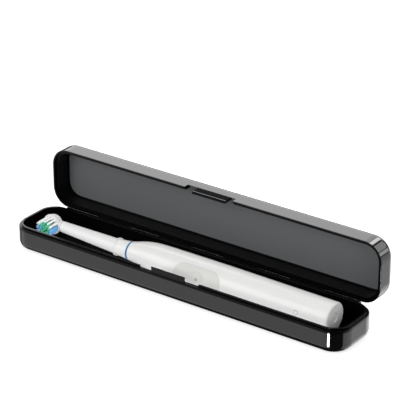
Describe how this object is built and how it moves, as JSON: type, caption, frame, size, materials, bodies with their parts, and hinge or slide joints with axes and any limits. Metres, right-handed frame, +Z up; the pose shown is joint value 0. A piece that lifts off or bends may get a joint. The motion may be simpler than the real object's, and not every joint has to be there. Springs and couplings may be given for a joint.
{
  "type": "electric toothbrush travel case",
  "caption": "Slim hinged travel case, rounded and glossy, lid standing open on its back hinge, with an electric toothbrush lying in the tray.",
  "frame": {"origin": "centre of the case's flat underside, on the surface that it stands on", "axes": "+X along the case towards the handle's tail (brush head at -X), -Y towards the user and the latch, +Y towards the hinge, +Z up"},
  "size_m": [0.24, 0.0559, 0.0534],
  "materials": {
    "case_black": "high-gloss moulded ABS",
    "hinge_steel": "drawn pin",
    "handle_white": "high-gloss moulded ABS",
    "pad_soft": "satin soft-touch",
    "mark_dark": "printed",
    "light_pipe": "clear moulded",
    "seal_rubber": "moulded",
    "inner_plastic": "moulded nylon",
    "coil_copper": "enamelled wire",
    "cell_steel": "wrapped can",
    "board_green": "solder mask",
    "motor_steel": "pressed can",
    "bearing_bronze": "sintered",
    "shaft_steel": "ground",
    "magnet": "nickel plated",
    "head_white": "gloss moulded",
    "ring_blue": "moulded",
    "bristle_nylon": "nylon filament"
  },
  "bodies": {
    "base": {"base_shell": "case_black", "hinge_pin": "hinge_steel", "cradle_front": "case_black", "cradle_rear": "case_black"},
    "lid": {"lid_shell": "case_black"},
    "latch": {"latch_tongue": "case_black"},
    "brush": {"handle_shell": "handle_white", "control_pad": "pad_soft", "charge_light": "light_pipe", "end_cap": "handle_white", "end_seal": "seal_rubber", "coil_bobbin": "inner_plastic", "charging_coil": "coil_copper", "chassis": "inner_plastic", "battery_cell": "cell_steel", "circuit_board": "board_green", "tact_switch": "mark_dark", "motor_can": "motor_steel", "front_bearing": "bearing_bronze", "rear_bearing": "bearing_bronze", "shaft_seal": "seal_rubber"},
    "button": {"power_button": "pad_soft", "power_mark": "mark_dark", "status_led": "light_pipe"},
    "drive": {"drive_shaft": "shaft_steel", "rotor_magnet": "magnet"},
    "refill_head": {"head_collar": "head_white", "id_ring": "ring_blue", "neck_tube": "head_white"},
    "link": {"drive_link": "inner_plastic"},
    "plate": {"brush_plate": "head_white", "bristle_tufts": "bristle_nylon"}
  },
  "joints": [
    {"name": "lid_hinge", "type": "hinge", "parent": "base", "child": "lid", "pos_m": [0, 0.0206, 0.0133], "axis": [-1, 0, 0], "range_deg": [-90, 8]},
    {"name": "latch_flex", "type": "hinge", "parent": "base", "child": "latch", "pos_m": [0, -0.0186, 0.014], "axis": [1, 0, 0], "range_deg": [0, 6], "stiffness_Nm_per_rad": 0.2},
    {"name": "brush_lift", "type": "slide", "parent": "base", "child": "brush", "axis": [0, 0, 1], "range_m": [0, 0.06]},
    {"name": "button_press", "type": "slide", "parent": "brush", "child": "button", "axis": [0, 0.9903, -0.1392], "range_m": [0, 0.0005], "stiffness_N_per_m": 3000},
    {"name": "shaft_turn", "type": "hinge", "parent": "brush", "child": "drive", "pos_m": [0, 0, 0.0124], "axis": [1, 0, 0], "range_deg": [-17.7, 17.7], "stiffness_Nm_per_rad": 0.02},
    {"name": "head_pull", "type": "slide", "parent": "brush", "child": "refill_head", "axis": [-1, 0, 0], "range_m": [0, 0.0055]},
    {"name": "link_turn", "type": "hinge", "parent": "refill_head", "child": "link", "pos_m": [-0.08, 0, 0.0124], "axis": [1, 0, 0], "range_deg": [-17.7, 17.7]},
    {"name": "plate_turn", "type": "hinge", "parent": "refill_head", "child": "plate", "pos_m": [-0.104, 0, 0.0124], "axis": [0, 1, 0], "range_deg": [-20, 20]}
  ],
  "couplings": [
    {"joint": "link_turn", "follows": "shaft_turn", "ratio": 1},
    {"joint": "plate_turn", "follows": "shaft_turn", "ratio": -1.125}
  ]
}
